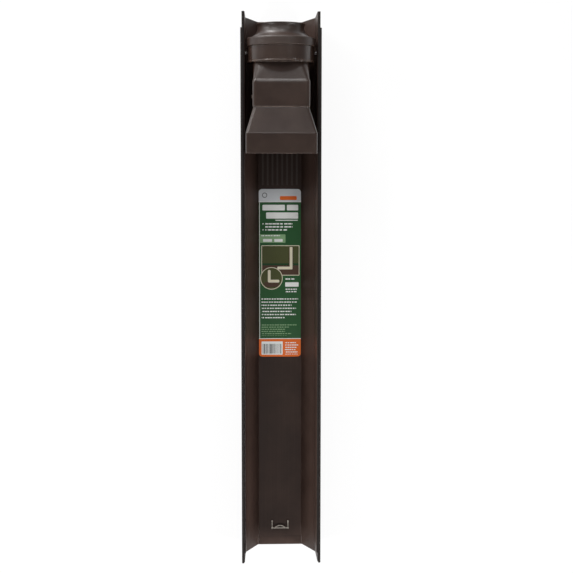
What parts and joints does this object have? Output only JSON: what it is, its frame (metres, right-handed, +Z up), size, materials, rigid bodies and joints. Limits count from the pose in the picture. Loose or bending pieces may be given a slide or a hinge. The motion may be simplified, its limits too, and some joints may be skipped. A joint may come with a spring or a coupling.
{
  "type": "hinged telescoping downspout extension",
  "caption": "Brown plastic drain channel folded for storage: two nested open channels with a hinged, swivelling downspout adapter tucked into one end.",
  "frame": {"origin": "centre of the folded object's footprint, on the surface it lies on", "axes": "+Y along the channels toward the hinge end, +Z up out of the open channel, +X across"},
  "size_m": [0.1356, 0.937, 0.1368],
  "materials": {
    "brown_plastic": "satin moulded dark brown plastic",
    "printed_card": "glossy printed card"
  },
  "bodies": {
    "outer_channel": {"outer_trough": "brown_plastic"},
    "inner_channel": {"inner_trough": "brown_plastic", "printed_card": "printed_card"},
    "collar": {"hinge_collar": "brown_plastic"},
    "adapter": {"downspout_adapter": "brown_plastic", "outlet_nozzle": "brown_plastic"}
  },
  "joints": [
    {"name": "channel_slide", "type": "slide", "parent": "outer_channel", "child": "inner_channel", "axis": [0, 1, 0], "range_m": [0, 0.83]},
    {"name": "adapter_fold", "type": "hinge", "parent": "inner_channel", "child": "collar", "pos_m": [0, 0.4025, 0.077], "axis": [-1, 0, 0], "range_deg": [0, 100]},
    {"name": "adapter_swivel", "type": "hinge", "parent": "collar", "child": "adapter", "pos_m": [0, 0.4025, 0.077], "axis": [0, 0.9972, 0.075], "range_deg": [-3, 3]}
  ]
}
